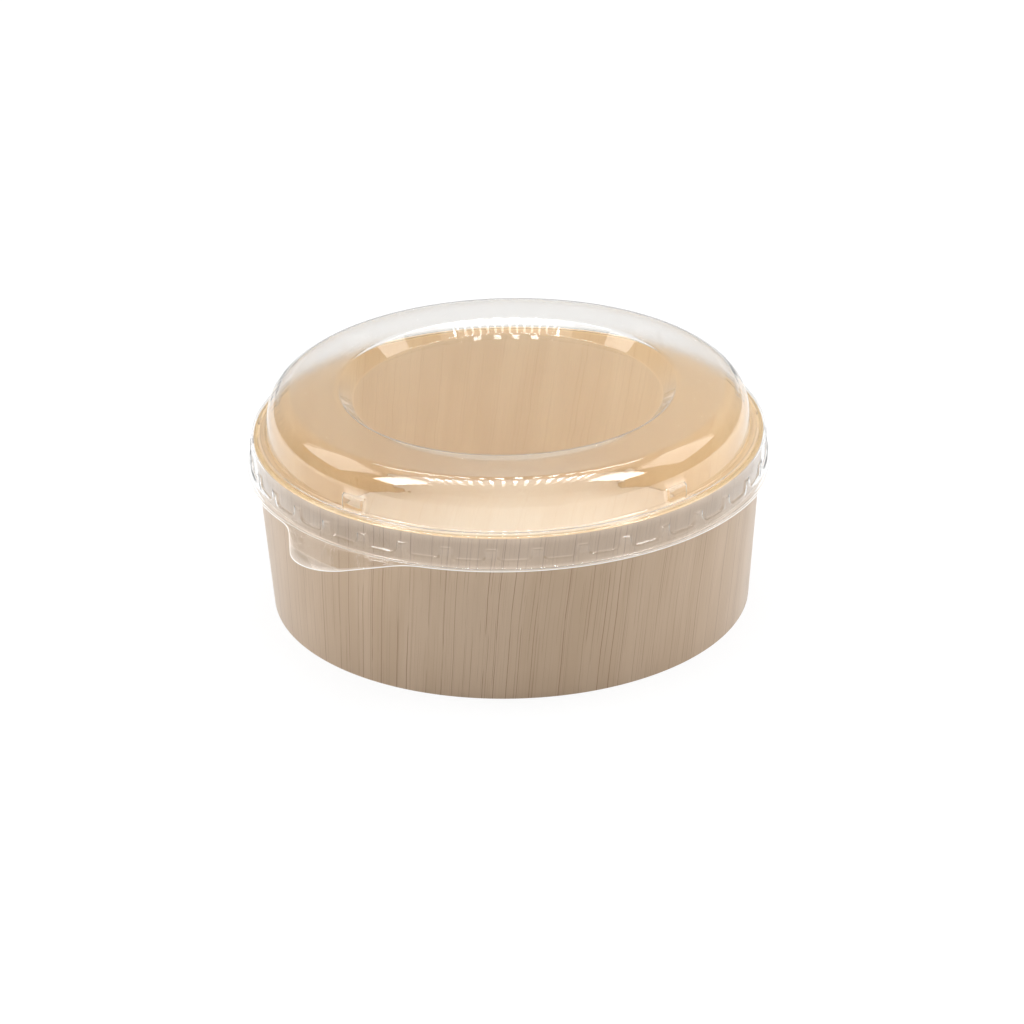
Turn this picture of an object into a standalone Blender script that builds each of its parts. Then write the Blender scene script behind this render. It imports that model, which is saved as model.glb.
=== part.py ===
"""Round takeaway bowl of bent wood laminate with a clear snap-on dome lid.

Metres, +Z up. The origin is the centre of the foot, on the surface that the bowl stands on.
The front is -Y, and plan angles are measured from the front, positive towards +X.
"""
import math

import bmesh
import bpy
from mathutils import Matrix, Vector

# Bowl: the wall
RIM_RADIUS = 0.0650            # outside of the wall at its top edge
WALL_FLARE = 0.0034            # rim's radius beyond the foot's
WALL_HEIGHT = 0.0456
OUTER_VENEER = 0.0003
CORE_BOARD = 0.0006
INNER_VENEER = 0.0003
GLUE_LINE = 0.00005            # between the plies of the laminate
SEAM_ANGLE = math.radians(112)  # plan angle of the wall's butt seam, out of sight behind
SEAM_STAGGER = math.radians(4)  # turn between the seams of neighbouring plies
SEAM_GAP = 0.0003

# Bowl: the base
FLOOR_HEIGHT = 0.0055          # inside floor above the standing surface
BASE_BOARD = 0.0008
BASE_VENEER = 0.0003
BASE_CORNER = 0.0010           # outer radius where the base board turns down
BASE_CLEARANCE = 0.0003        # edge of a base veneer to what surrounds it

# Lid: the film and the dome
FILM = 0.00035
LID_CLEARANCE = 0.0003         # film to the bowl's rim, above it and beside it
LEDGE_WIDTH = 0.00295          # foot of the dome to the skirt
DOME_HEIGHT = 0.01145          # flat top above the ledge
DOME_FOOT_FILLET = 0.0005
SHOULDER_WIDTH = 0.0057        # edge of the flat top to the foot of the dome
SHOULDER_RADIUS = 0.00825
SHOULDER_START = math.radians(63)   # slope of the shoulder's normal at the top edge
SHOULDER_END = math.radians(12)     # and where it meets the dome side
TOP_EDGE_DROP = 0.0002         # chamfer at the edge of the flat top
TOP_RING_WIDTH = 0.0140        # flat top between its edge and the recess
RECESS_DEPTH = 0.0031
RECESS_SLOPE_WIDTH = 0.0035    # from the flat top down to the sunk panel

# Lid: the ledge over the rim
BEAD_INSET = 0.0010            # foot of the dome to the middle of the raised bead
BEAD_WIDTH = 0.0007
BEAD_HEIGHT = 0.00035
BEAD_FLANK = 0.0003
LEDGE_CORNER = 0.00045         # chamfer from the ledge to the skirt

# Lid: the skirt, its snap lugs and the flange
SKIRT_DEPTH = 0.0081           # ledge down to the flange
SKIRT_FLARE = 0.0001           # growth of the skirt's radius down to the snap lugs
SNAP_COUNT = 37                # snap lugs round the skirt
SNAP_FIRST = math.radians(0.8)  # plan angle of the first one's middle
SNAP_FACE_SHARE = 0.64         # flat of a lug, as a share of the pitch
SNAP_FLANK_SHARE = 0.07        # each sloping side, as a share of the pitch
SNAP_START = 0.00315           # ledge down to the pockets between the lugs
SNAP_HEIGHT = 0.0026           # height of the lugs
SNAP_STEP = 0.0006             # pockets stand out from the lugs by this much
SNAP_SLOPE = 0.0004            # height over which a step runs out
HEM_FLARE = 0.0001             # growth of the skirt's radius below the lugs
FLANGE_WIDTH = 0.00135

# Lid: the stacking lugs and the pull tab
CORNER_ANGLE = math.radians(39.5)  # plan angle of the lugs and of the tab, from front and back
LID_TURN = math.radians(1.5)   # turn of the lugs and the tab round the axis, as the lid sits on the bowl
LUG_WIDTH = 0.0068
LUG_HEIGHT = 0.0038            # above the ledge
LUG_TOP_REACH = 0.0013         # front face beyond the foot of the dome, at the lug's top
LUG_FOOT_REACH = 0.0006        # and at the ledge
LUG_EDGE = 0.0008              # bevel of the lug's edges
TAB_LENGTH = 0.0124            # tip of the tab beyond the flange
TAB_NOSE_RADIUS = 0.0116
TAB_SIDE = math.radians(48)    # slope of the tab's sides against its axis
TAB_BLEND_RADIUS = 0.0120      # where a side runs into the flange
TAB_OVERLAP = 0.0007           # how far the tab's root lies inside the flange's edge

# Facets
WALL_STEPS = 96
LID_STEPS = 96
SHOULDER_STEPS = 5
NOSE_STEPS = 8
BLEND_STEPS = 3
ROOT_STEPS = 10
OVERRUN = 0.0010               # cutters reach past what they cut by this much
SKIN = 0.00005                 # keeps joined faces from lying in one plane

# Worked out from the sizes above
FOOT_RADIUS = RIM_RADIUS - WALL_FLARE                 # outside of the wall at its bottom edge
WALL_LAYERS = (("wall_outer_veneer", OUTER_VENEER), ("wall_core_board", CORE_BOARD),
               ("wall_inner_veneer", INNER_VENEER))
WALL_THICKNESS = OUTER_VENEER + CORE_BOARD + INNER_VENEER + GLUE_LINE + GLUE_LINE
LEDGE_HEIGHT = WALL_HEIGHT + LID_CLEARANCE + FILM     # film's upper face over the rim
SKIRT_RADIUS = RIM_RADIUS + LID_CLEARANCE + FILM      # film's outer face beside the rim
DOME_BASE_RADIUS = SKIRT_RADIUS - LEDGE_WIDTH
TOP_EDGE_RADIUS = DOME_BASE_RADIUS - SHOULDER_WIDTH
RECESS_RADIUS = TOP_EDGE_RADIUS - TOP_RING_WIDTH
PANEL_RADIUS = RECESS_RADIUS - RECESS_SLOPE_WIDTH
TOP_HEIGHT = LEDGE_HEIGHT + DOME_HEIGHT
PANEL_HEIGHT = TOP_HEIGHT - RECESS_DEPTH
BEAD_RADIUS = DOME_BASE_RADIUS + BEAD_INSET
SNAP_TOP = LEDGE_HEIGHT - SNAP_START
SNAP_BOTTOM = SNAP_TOP - SNAP_HEIGHT
HEM_RADIUS = SKIRT_RADIUS + SKIRT_FLARE + SNAP_STEP   # film's outer face below the snap lugs
FLANGE_TOP = LEDGE_HEIGHT - SKIRT_DEPTH
FLANGE_BOTTOM = FLANGE_TOP - FILM
FLANGE_RADIUS = HEM_RADIUS + HEM_FLARE + FLANGE_WIDTH
LUG_TOP_RADIUS = DOME_BASE_RADIUS + LUG_TOP_REACH
LUG_FOOT_RADIUS = DOME_BASE_RADIUS + LUG_FOOT_REACH
TAB_REACH = FLANGE_RADIUS + TAB_LENGTH


def clear_scene():
    for obj in list(bpy.data.objects):
        bpy.data.objects.remove(obj, do_unlink=True)


def new_collection(name):
    collection = bpy.data.collections.new(name)
    bpy.context.scene.collection.children.link(collection)
    return collection


def new_material(name, color, roughness, transmission=0.0):
    material = bpy.data.materials.new(name)
    material.use_nodes = True
    shader = material.node_tree.nodes["Principled BSDF"]
    shader.inputs["Base Color"].default_value = (*color, 1.0)
    shader.inputs["Roughness"].default_value = roughness
    shader.inputs["Metallic"].default_value = 0.0
    shader.inputs["Transmission Weight"].default_value = transmission
    return material


def plan_point(radius, angle, height):
    """Point at a plan angle from the front, at a radius and a height."""
    return Vector((radius * math.sin(angle), -radius * math.cos(angle), height))


def wall_radius(height, depth=0.0):
    """Radius of the wall at a height, at a depth below its outer face."""
    return FOOT_RADIUS + WALL_FLARE * height / WALL_HEIGHT - depth


def add_mesh_object(name, mesh, collection, material=None):
    obj = bpy.data.objects.new(name, mesh)
    collection.objects.link(obj)
    if material is not None:
        mesh.materials.append(material)
    return obj


def turned(name, profile, steps, collection, material=None, closed=False):
    """Turn a profile of (radius, height) points, outer side first, round the axis."""
    mesh = bpy.data.meshes.new(name)
    edges = [(i, i + 1) for i in range(len(profile) - 1)]
    if closed:
        edges.append((len(profile) - 1, 0))
    mesh.from_pydata([(radius, 0.0, height) for radius, height in profile], edges, [])
    obj = add_mesh_object(name, mesh, collection, material)
    screw = obj.modifiers.new("turn", "SCREW")
    screw.axis = "Z"
    screw.steps = steps
    screw.render_steps = steps
    screw.use_merge_vertices = True
    screw.merge_threshold = 0.000001
    screw.use_smooth_shade = True
    return obj


def make_cutter(obj):
    obj.hide_render = True
    obj.display_type = "WIRE"
    return obj


def combine(obj, other, operation):
    boolean = obj.modifiers.new(operation.lower() + "_" + other.name, "BOOLEAN")
    boolean.operation = operation
    boolean.solver = "EXACT"
    boolean.object = other
    return boolean


def make_box(name, size, matrix, collection):
    """Box of a size, centred on a matrix."""
    mesh = bpy.data.meshes.new(name)
    bm = bmesh.new()
    bmesh.ops.create_cube(bm, size=1.0, matrix=matrix @ Matrix.Diagonal((*size, 1.0)))
    bm.to_mesh(mesh)
    bm.free()
    return add_mesh_object(name, mesh, collection)


# The bowl

def build_wall(parts, cutters, materials):
    """The laminate: three hoops, each closed by a butt seam, the seams staggered."""
    depth = 0.0
    for index, (name, thickness) in enumerate(WALL_LAYERS):
        profile = [(wall_radius(WALL_HEIGHT, depth), WALL_HEIGHT),
                   (wall_radius(0.0, depth), 0.0),
                   (wall_radius(0.0, depth + thickness), 0.0),
                   (wall_radius(WALL_HEIGHT, depth + thickness), WALL_HEIGHT)]
        hoop = turned(name, profile, WALL_STEPS, parts, materials[name], closed=True)
        angle = SEAM_ANGLE + index * SEAM_STAGGER
        middle = plan_point(wall_radius(WALL_HEIGHT / 2.0, WALL_THICKNESS / 2.0), angle, WALL_HEIGHT / 2.0)
        reach = WALL_FLARE + WALL_THICKNESS + OVERRUN
        seam = make_box("seam_" + name, (SEAM_GAP, 2.0 * reach, WALL_HEIGHT + OVERRUN),
                        Matrix.Translation(middle) @ Matrix.Rotation(angle, 4, "Z"), cutters)
        combine(hoop, make_cutter(seam), "DIFFERENCE")
        depth += thickness + GLUE_LINE


def base_board_profile(top, corner):
    """Outer side from the axis over the rounded corner down to the foot, then back up inside."""
    gap = WALL_THICKNESS + GLUE_LINE
    side = wall_radius(top - corner, gap)
    points = [(0.0, top)]
    for step in range(BLEND_STEPS + 1):
        turn = math.pi / 2.0 * step / BLEND_STEPS
        points.append((side - corner * (1.0 - math.sin(turn)), top - corner * (1.0 - math.cos(turn))))
    points.append((wall_radius(0.0, gap), 0.0))
    points.append((wall_radius(0.0, gap + BASE_BOARD), 0.0))
    inner_top = top - BASE_BOARD
    points.append((wall_radius(inner_top, gap + BASE_BOARD), inner_top))
    points.append((0.0, inner_top))
    return points


def build_base(parts, materials):
    """The floor: a pressed board with a turned-down rim, and a veneer on each face."""
    veneer_low = FLOOR_HEIGHT - BASE_VENEER
    radius = wall_radius(veneer_low, WALL_THICKNESS) - BASE_CLEARANCE
    turned("base_top_veneer", [(0.0, FLOOR_HEIGHT), (radius, FLOOR_HEIGHT), (radius, veneer_low),
                               (0.0, veneer_low)], WALL_STEPS, parts, materials["base_top_veneer"])
    board_top = veneer_low - GLUE_LINE
    turned("base_board", base_board_profile(board_top, BASE_CORNER), WALL_STEPS, parts,
           materials["base_board"])
    under_top = board_top - BASE_BOARD - GLUE_LINE
    under_low = under_top - BASE_VENEER
    radius = wall_radius(under_low, WALL_THICKNESS + GLUE_LINE + BASE_BOARD) - BASE_CLEARANCE
    turned("base_under_veneer", [(0.0, under_top), (radius, under_top), (radius, under_low),
                                 (0.0, under_low)], WALL_STEPS, parts, materials["base_under_veneer"])


# The lid

def shoulder_points():
    """Arc from the edge of the flat top down to the dome side."""
    edge_height = TOP_HEIGHT - TOP_EDGE_DROP
    centre_radius = TOP_EDGE_RADIUS - SHOULDER_RADIUS * math.cos(SHOULDER_START)
    centre_height = edge_height - SHOULDER_RADIUS * math.sin(SHOULDER_START)
    points = []
    for step in range(SHOULDER_STEPS + 1):
        turn = SHOULDER_START + (SHOULDER_END - SHOULDER_START) * step / SHOULDER_STEPS
        points.append((centre_radius + SHOULDER_RADIUS * math.cos(turn),
                       centre_height + SHOULDER_RADIUS * math.sin(turn)))
    return points


def dome_profile():
    """Film's upper face from the centre panel out to the foot of the skirt."""
    half_bead = BEAD_WIDTH / 2.0
    points = [(0.0, PANEL_HEIGHT), (PANEL_RADIUS, PANEL_HEIGHT), (RECESS_RADIUS, TOP_HEIGHT),
              (TOP_EDGE_RADIUS - TOP_EDGE_DROP, TOP_HEIGHT)]
    points += shoulder_points()
    points += [(DOME_BASE_RADIUS, LEDGE_HEIGHT + DOME_FOOT_FILLET),
               (DOME_BASE_RADIUS + DOME_FOOT_FILLET, LEDGE_HEIGHT),
               (BEAD_RADIUS - half_bead, LEDGE_HEIGHT + BEAD_HEIGHT),
               (BEAD_RADIUS + half_bead, LEDGE_HEIGHT + BEAD_HEIGHT),
               (BEAD_RADIUS + half_bead + BEAD_FLANK, LEDGE_HEIGHT),
               (SKIRT_RADIUS - LEDGE_CORNER, LEDGE_HEIGHT),
               (SKIRT_RADIUS, LEDGE_HEIGHT - LEDGE_CORNER),
               (SKIRT_RADIUS + SKIRT_FLARE, SNAP_BOTTOM),
               (HEM_RADIUS, SNAP_BOTTOM - SNAP_SLOPE),
               (HEM_RADIUS + HEM_FLARE, FLANGE_TOP)]
    return points


def inset(points, distance):
    """The profile moved to its inner side by a distance, with mitred corners."""
    result = []
    for index, (radius, height) in enumerate(points):
        before = points[max(index - 1, 0)]
        after = points[min(index + 1, len(points) - 1)]
        into = Vector((radius - before[0], height - before[1]))
        out = Vector((after[0] - radius, after[1] - height))
        if index == 0:
            into = out
        if index == len(points) - 1:
            out = into
        normal_in = Vector((into.y, -into.x)).normalized()
        normal_out = Vector((out.y, -out.x)).normalized()
        mitre = (normal_in + normal_out).normalized()
        shift = mitre * (distance / mitre.dot(normal_in))
        result.append((radius + shift.x, height + shift.y))
    return result


def snap_ring(name, lug_radius, levels, collection):
    """Ring that fills the pockets between the snap lugs: (height, pocket radius) levels, bottom first."""
    pitch = 2.0 * math.pi / SNAP_COUNT
    half_face = SNAP_FACE_SHARE / 2.0
    half_gap = half_face + SNAP_FLANK_SHARE
    mesh = bpy.data.meshes.new(name)
    bm = bmesh.new()
    rings = []
    for height, pocket_radius in levels:
        ring = []
        for lug in range(SNAP_COUNT):
            for share, radius in ((-half_gap, pocket_radius), (-half_face, lug_radius),
                                  (half_face, lug_radius), (half_gap, pocket_radius)):
                angle = SNAP_FIRST + pitch * (lug + share)
                ring.append(bm.verts.new(plan_point(radius, angle, height)))
        rings.append(ring)
    count = len(rings[0])
    for lower, upper in zip(rings, rings[1:]):
        for i in range(count):
            j = (i + 1) % count
            bm.faces.new((lower[i], lower[j], upper[j], upper[i]))
    bm.faces.new(list(reversed(rings[0])))
    bm.faces.new(rings[-1])
    bm.to_mesh(mesh)
    bm.free()
    return add_mesh_object(name, mesh, collection)


def snap_levels(inward):
    """Levels of the pockets on the film's outer face, or on its inner face when moved inward."""
    skirt = SKIRT_RADIUS + SKIRT_FLARE
    pocket = HEM_RADIUS - SKIN
    return [(SNAP_BOTTOM - SNAP_SLOPE - SKIN - inward, pocket - inward),
            (SNAP_TOP - SNAP_SLOPE - inward, pocket - inward),
            (SNAP_TOP - inward, skirt - SKIN - inward)]


def stacking_lugs(name, inward, collection):
    """Four blocks at the foot of the dome, joined in one mesh, or their hollows when moved inward."""
    mesh = bpy.data.meshes.new(name)
    bm = bmesh.new()
    base = LEDGE_HEIGHT - FILM / 2.0
    if inward > 0.0:
        base = LEDGE_HEIGHT + FILM / 2.0
    top = LEDGE_HEIGHT + LUG_HEIGHT - inward
    back = DOME_BASE_RADIUS - LUG_HEIGHT
    half = LUG_WIDTH / 2.0 - inward
    for angle in (CORNER_ANGLE, -CORNER_ANGLE, math.pi - CORNER_ANGLE, math.pi + CORNER_ANGLE):
        turn = Matrix.Rotation(angle + LID_TURN, 4, "Z")
        block = bmesh.new()
        bmesh.ops.create_cube(block, size=2.0)
        for vert in block.verts:
            side, depth, level = vert.co
            front = LUG_TOP_RADIUS if level > 0.0 else LUG_FOOT_RADIUS
            vert.co = (side * half, -(front - inward) if depth < 0.0 else -back, top if level > 0.0 else base)
        if inward == 0.0:
            edges = [e for e in block.edges if all(v.co.y < -back - FILM for v in e.verts)]
            edges = [e for e in edges if any(v.co.z > base + FILM for v in e.verts)]
            bmesh.ops.bevel(block, geom=edges, offset=LUG_EDGE, segments=2, profile=0.5, affect="EDGES")
        block.transform(turn)
        shape = bpy.data.meshes.new(name)
        block.to_mesh(shape)
        block.free()
        bm.from_mesh(shape)
        bpy.data.meshes.remove(shape)
    bm.to_mesh(mesh)
    bm.free()
    return add_mesh_object(name, mesh, collection)


def fillet(before, corner, after, radius, steps):
    """Points of an arc of a radius that rounds a corner of a flat outline."""
    back = (before - corner).normalized()
    ahead = (after - corner).normalized()
    half = back.angle(ahead) / 2.0
    reach = radius / math.tan(half)
    start = corner + back * reach
    centre = corner + (back + ahead).normalized() * (radius / math.sin(half))
    arm = start - centre
    sweep = math.pi - 2.0 * half
    if back.x * ahead.y - back.y * ahead.x > 0.0:
        sweep = -sweep
    points = []
    for step in range(steps + 1):
        turn = sweep * step / steps
        points.append(centre + Matrix.Rotation(turn, 2) @ arm)
    return points


def tab_outline():
    """Outline of the pull tab in its own plan frame: x along the flange, y outwards."""
    root_radius = FLANGE_RADIUS - TAB_OVERLAP
    corner = TAB_REACH + TAB_NOSE_RADIUS * (1.0 / math.sin(TAB_SIDE) - 1.0)
    edge_half = math.asin(corner * math.sin(TAB_SIDE) / FLANGE_RADIUS) - TAB_SIDE
    tip = Vector((0.0, corner))
    foot_right = Vector((FLANGE_RADIUS * math.sin(edge_half), FLANGE_RADIUS * math.cos(edge_half)))
    root_half = edge_half + TAB_BLEND_RADIUS / FLANGE_RADIUS
    root_right = Vector((root_radius * math.sin(root_half), root_radius * math.cos(root_half)))
    foot_left = Vector((-foot_right.x, foot_right.y))
    root_left = Vector((-root_right.x, root_right.y))
    points = [root_right]
    points += fillet(root_right, foot_right, tip, TAB_BLEND_RADIUS, BLEND_STEPS)
    points += fillet(foot_right, tip, foot_left, TAB_NOSE_RADIUS, NOSE_STEPS)
    points += fillet(tip, foot_left, root_left, TAB_BLEND_RADIUS, BLEND_STEPS)
    points.append(root_left)
    for step in range(1, ROOT_STEPS):
        angle = -root_half + 2.0 * root_half * step / ROOT_STEPS
        points.append(Vector((root_radius * math.sin(angle), root_radius * math.cos(angle))))
    return points


def build_tab(collection):
    """Flat plate of film, as an extruded outline, set within the thickness of the flange."""
    curve = bpy.data.curves.new("tab_outline", "CURVE")
    curve.dimensions = "2D"
    curve.fill_mode = "BOTH"
    curve.extrude = FILM / 2.0 - SKIN
    outline = tab_outline()
    spline = curve.splines.new("POLY")
    spline.points.add(len(outline) - 1)
    for point, place in zip(spline.points, outline):
        point.co = (place.x, -place.y, 0.0, 1.0)
    spline.use_cyclic_u = True
    holder = bpy.data.objects.new("tab_outline", curve)
    collection.objects.link(holder)
    turn = Matrix.Rotation(LID_TURN - CORNER_ANGLE, 4, "Z")
    holder.matrix_world = Matrix.Translation((0.0, 0.0, FLANGE_TOP - FILM / 2.0)) @ turn
    bpy.context.view_layer.update()
    graph = bpy.context.evaluated_depsgraph_get()
    mesh = bpy.data.meshes.new_from_object(holder.evaluated_get(graph))
    bm = bmesh.new()
    bm.from_mesh(mesh)
    bmesh.ops.remove_doubles(bm, verts=bm.verts, dist=SKIN / 10.0)
    bm.to_mesh(mesh)
    bm.free()
    tab = add_mesh_object("tab_plate", mesh, collection)
    tab.matrix_world = holder.matrix_world.copy()
    bpy.data.objects.remove(holder, do_unlink=True)
    return tab


def build_lid(parts, cutters, materials):
    """One sheet of film: the outer form less the same form moved in by the film's thickness."""
    outside = dome_profile()
    inside = inset(outside, FILM)
    inside[0] = (0.0, inside[0][1])
    inside[-1] = (inside[-1][0], FLANGE_BOTTOM - OVERRUN)
    outside += [(FLANGE_RADIUS, FLANGE_TOP), (FLANGE_RADIUS, FLANGE_BOTTOM), (0.0, FLANGE_BOTTOM)]
    inside.append((0.0, FLANGE_BOTTOM - OVERRUN))
    lid = turned("lid", outside, LID_STEPS, parts, materials["lid"])
    skirt = SKIRT_RADIUS + SKIRT_FLARE
    additions = [snap_ring("pockets_outside", skirt - FILM, snap_levels(0.0), cutters),
                 stacking_lugs("lugs_outside", 0.0, cutters),
                 build_tab(cutters)]
    removals = [turned("dome_inside", inside, LID_STEPS, cutters),
                snap_ring("pockets_inside", skirt - 2.0 * FILM, snap_levels(FILM), cutters),
                stacking_lugs("lugs_inside", FILM, cutters)]
    for form in additions:
        combine(lid, make_cutter(form), "UNION")
    for form in removals:
        combine(lid, make_cutter(form), "DIFFERENCE")
    return lid


def main():
    clear_scene()
    parts = new_collection("takeaway_bowl")
    cutters = new_collection("cutters")
    wood = (0.48, 0.36, 0.25)
    inner_wood = (0.66, 0.47, 0.27)
    board = (0.62, 0.42, 0.20)
    materials = {
        "wall_outer_veneer": new_material("outer_veneer", wood, 0.6),
        "wall_core_board": new_material("core_board", board, 0.8),
        "wall_inner_veneer": new_material("inner_veneer", inner_wood, 0.55),
        "base_board": new_material("base_board", board, 0.8),
        "base_top_veneer": new_material("floor_veneer", inner_wood, 0.55),
        "base_under_veneer": new_material("under_veneer", wood, 0.6),
        "lid": new_material("clear_film", (0.95, 0.97, 0.97), 0.05, transmission=1.0),
    }
    build_wall(parts, cutters, materials)
    build_base(parts, materials)
    build_lid(parts, cutters, materials)


main()
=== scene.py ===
"""Looks of the round wooden takeaway bowl and its clear dome lid.

Metres, +Z up, the front is -Y. Plan angles are measured from the front, positive towards +X.
"""
import math

import bmesh
import bpy
from mathutils import Matrix, Vector


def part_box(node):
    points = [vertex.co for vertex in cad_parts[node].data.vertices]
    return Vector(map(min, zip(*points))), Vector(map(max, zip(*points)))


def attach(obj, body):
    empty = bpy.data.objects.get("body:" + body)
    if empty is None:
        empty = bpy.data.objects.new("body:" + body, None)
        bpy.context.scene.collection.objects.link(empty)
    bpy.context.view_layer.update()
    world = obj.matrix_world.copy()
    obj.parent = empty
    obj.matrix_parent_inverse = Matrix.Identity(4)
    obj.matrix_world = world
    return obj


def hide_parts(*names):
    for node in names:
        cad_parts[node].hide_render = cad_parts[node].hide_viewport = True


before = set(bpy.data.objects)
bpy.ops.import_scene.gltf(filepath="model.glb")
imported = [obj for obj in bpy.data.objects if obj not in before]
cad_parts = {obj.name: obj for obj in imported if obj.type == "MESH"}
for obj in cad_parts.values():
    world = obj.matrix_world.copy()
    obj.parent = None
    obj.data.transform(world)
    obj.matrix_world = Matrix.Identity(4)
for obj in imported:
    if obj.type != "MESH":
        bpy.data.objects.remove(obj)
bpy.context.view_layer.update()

MM = 0.001
FULL_TURN = 2.0 * math.pi

# Camera, fitted to the circles of the photograph
FRAME_PIXELS = 1024
CAMERA_DISTANCE = 1000 * MM
CAMERA_TARGET_HEIGHT = 25 * MM
CAMERA_ELEVATION = math.radians(25.54)
CAMERA_ROLL = math.radians(1.17)
FOCAL_PIXELS = 3879.5
CENTRE_SHIFT_PIXELS = (-2.24, -12.66)      # where the target lies from the frame's middle, y down
SENSOR_WIDTH = 36.0
CLIP_START = 0.05
CLIP_END = 50.0

# Sizes taken from the CAD nodes
WALL_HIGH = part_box("wall_outer_veneer")[1]
LID_LOW, LID_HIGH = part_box("lid")
FLOOR_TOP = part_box("base_top_veneer")[1].z
RIM_RADIUS = WALL_HIGH.x
WALL_HEIGHT = WALL_HIGH.z
FLANGE_RADIUS = LID_HIGH.x
TOP_HEIGHT = LID_HIGH.z
FLANGE_BOTTOM = LID_LOW.z

# The laminate
FLARE = 3.4 * MM                  # rim's radius beyond the foot's
OUTER_VENEER = 0.3 * MM
CORE_BOARD = 0.6 * MM
INNER_VENEER = 0.3 * MM
GLUE_LINE = 0.05 * MM
EDGE_ROUND = 0.06 * MM
SEAM_ANGLE = math.radians(112)
SEAM_STAGGER = math.radians(4)
SEAM_GAP = 0.06 * MM
BASE_BOARD = 0.8 * MM
BASE_VENEER = 0.3 * MM
BASE_FILLET = 0.93 * MM           # rounding where the base board turns down
BASE_CORNER = 1.0 * MM            # and the height of the bend
BASE_CLEARANCE = 0.3 * MM
BASE_GRAIN_TURN = math.radians(8)
HOOP_STEPS = 288
HOOP_LEVELS = (0.33, 0.66)        # heights of its two middle rings, as shares of the wall's height
CUT_STRIPS = (0, 5, 10, 11)       # the hoop profile's strips at its cut top and bottom edges

# The film. The CAD's film fills SOLID_FILM, and its outer face is the same here.
SOLID_FILM = 0.35 * MM
FILM = 0.18 * MM
CLEARANCE = 0.3 * MM
LEDGE_HEIGHT = WALL_HEIGHT + CLEARANCE + SOLID_FILM
SKIRT_RADIUS = RIM_RADIUS + CLEARANCE + SOLID_FILM
COARSE_STEPS = 296

# The dome, from the sunk panel outwards
LEDGE_WIDTH = 3.4 * MM
SHOULDER_WIDTH = 5.25 * MM
SHOULDER_RADIUS = 8.25 * MM
SHOULDER_START = math.radians(63)
SHOULDER_END = math.radians(12)
TOP_EDGE_DROP = 0.2 * MM
EDGE_BLEND = 3.6 * MM             # rounding between the flat top and the shoulder
TOP_RING_WIDTH = 14.0 * MM
RECESS_DEPTH = 3.1 * MM
RECESS_SLOPE_WIDTH = 3.5 * MM
PANEL_FILLET = 0.7 * MM
RECESS_FILLET = 1.3 * MM
PANEL_MARGIN = 1.0 * MM           # plain rings at these distances keep the folds' pale lines narrow, which are partly real highlights and partly painted glow
RECESS_MARGIN = 0.8 * MM
LUG_MARGIN = 0.2 * MM
TOP_RING_MIDDLE = 7.0 * MM
DOME_BASE_RADIUS = SKIRT_RADIUS - LEDGE_WIDTH
TOP_EDGE_RADIUS = DOME_BASE_RADIUS - SHOULDER_WIDTH
RECESS_RADIUS = TOP_EDGE_RADIUS - TOP_RING_WIDTH
PANEL_RADIUS = RECESS_RADIUS - RECESS_SLOPE_WIDTH
PANEL_HEIGHT = TOP_HEIGHT - RECESS_DEPTH

# The ledge and its bead
FOOT_FILLET = 0.8 * MM
LEDGE_FILLET = 0.55 * MM
BEAD_INSET = 1.45 * MM
BEAD_HEIGHT = 0.3 * MM
BEAD_HALF_WIDTH = 0.65 * MM
BEAD_STEPS = 8
BEAD_START = DOME_BASE_RADIUS + 0.78 * MM
LEDGE_END = DOME_BASE_RADIUS + BEAD_INSET + BEAD_HALF_WIDTH + 0.1 * MM

# The skirt and its snap lugs
SKIRT_FLARE = 0.1 * MM
SKIRT_KNEE = (SKIRT_RADIUS + 0.02 * MM, 44.0 * MM)
SKIRT_HEIGHTS = (43.3, 43.12, 42.98, 42.84, 42.7, 42.5, 42.0, 41.6, 41.3, 41.05, 40.8, 40.6, 40.42, 40.26,
                 40.1, 39.95, 39.6, 39.0)      # millimetres
SNAP_COUNT = 37
SNAP_PITCH = FULL_TURN / SNAP_COUNT
SNAP_FIRST = math.radians(0.8)
SNAP_SHARE = 0.71                 # width of a snap lug, as a share of the pitch
SNAP_TOP = 43.15 * MM
SNAP_BOTTOM = 40.4 * MM
SNAP_STEP = 0.5 * MM
SNAP_CORNER = 1.3 * MM
SNAP_FLANK = 0.75 * MM
# Where the skirt's steps lie, as shares of a lug's face, its corner and its flank
SNAP_FACE_STEP = 0.45
SNAP_CORNER_STEPS = (1.0, 0.6, 0.28)
SNAP_FLANK_STEPS = (0.0, 0.33, 0.66, 1.0)

# The stacking lugs on the ledge
LID_TURN = math.radians(1.5)
LUG_ANGLES = [LID_TURN + math.radians(angle) for angle in (39.5, -39.5, 140.5, 219.5)]
LUG_HALF_WIDTH = 3.3 * MM
LUG_TOP = 50.0 * MM
LUG_BOTTOM = LEDGE_HEIGHT + 0.1 * MM
LUG_REACH = 0.55 * MM             # front face beyond the foot of the dome, at the lug's top
LUG_SLOPE = 0.15 * MM             # less at the ledge
LUG_CORNER = 2.0 * MM             # rounding of its lower corners
LUG_EDGE = 0.45 * MM
LUG_FOOT_FILLET = 0.3 * MM
LUG_FLANK = 0.6 * MM
LUG_ROWS = 24
LUG_SPREAD = LUG_HALF_WIDTH + 1.2 * LUG_FLANK      # half width of the stretch that has fine steps
LUG_STEPS = 34                    # how many they are
LUG_CROWDING = 0.115              # and how far they crowd towards the lug's two sides

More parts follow.
